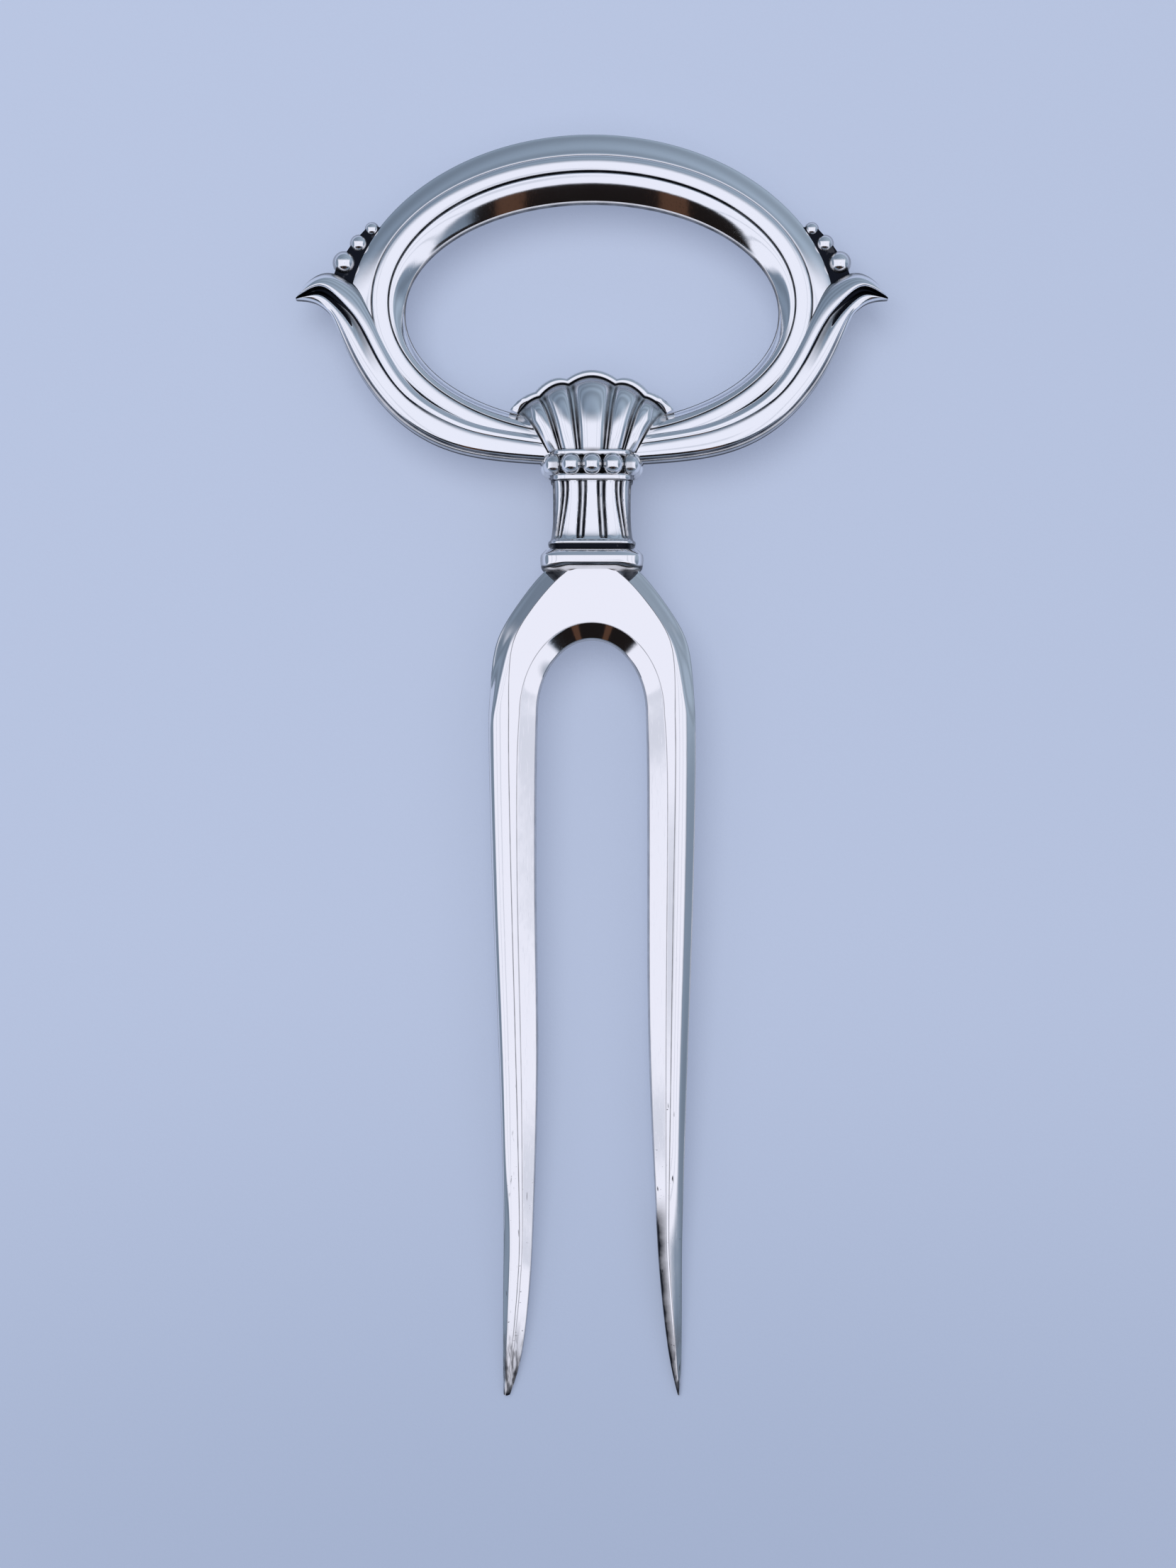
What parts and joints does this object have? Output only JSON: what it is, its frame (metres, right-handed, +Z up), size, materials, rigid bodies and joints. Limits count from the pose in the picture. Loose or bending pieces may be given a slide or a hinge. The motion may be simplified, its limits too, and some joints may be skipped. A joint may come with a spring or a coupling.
{
  "type": "meat fork",
  "caption": "Long-tined meat fork with bevelled prongs, a rounded collar, a reeded and beaded stem and an oval loop handle with curled leaves and a fan.",
  "frame": {"origin": "under the middle of the fork's length, on its mid-line, at table height", "axes": "+Y from the tine tips to the ring, +Z up out of the front face, +X to the right seen from the front with the ring at the top"},
  "size_m": [0.114, 0.2449, 0.0179],
  "materials": {
    "handle_silver": "polished silver plate, oxidised dark in the recesses",
    "fork_silver": "polished silver plate with fine wear on the tines",
    "bead_silver": "polished silver balls, oxidised dark in their seats",
    "cement": "rosin cement"
  },
  "bodies": {
    "root": {"handle_front_shell": "handle_silver", "handle_back_shell": "handle_silver", "fork": "fork_silver", "collar": "fork_silver", "tang_cement": "cement", "bead_band": "bead_silver", "left_bead_large": "bead_silver", "left_bead_medium": "bead_silver", "left_bead_small": "bead_silver", "right_bead_large": "bead_silver", "right_bead_medium": "bead_silver", "right_bead_small": "bead_silver"}
  },
  "joints": []
}
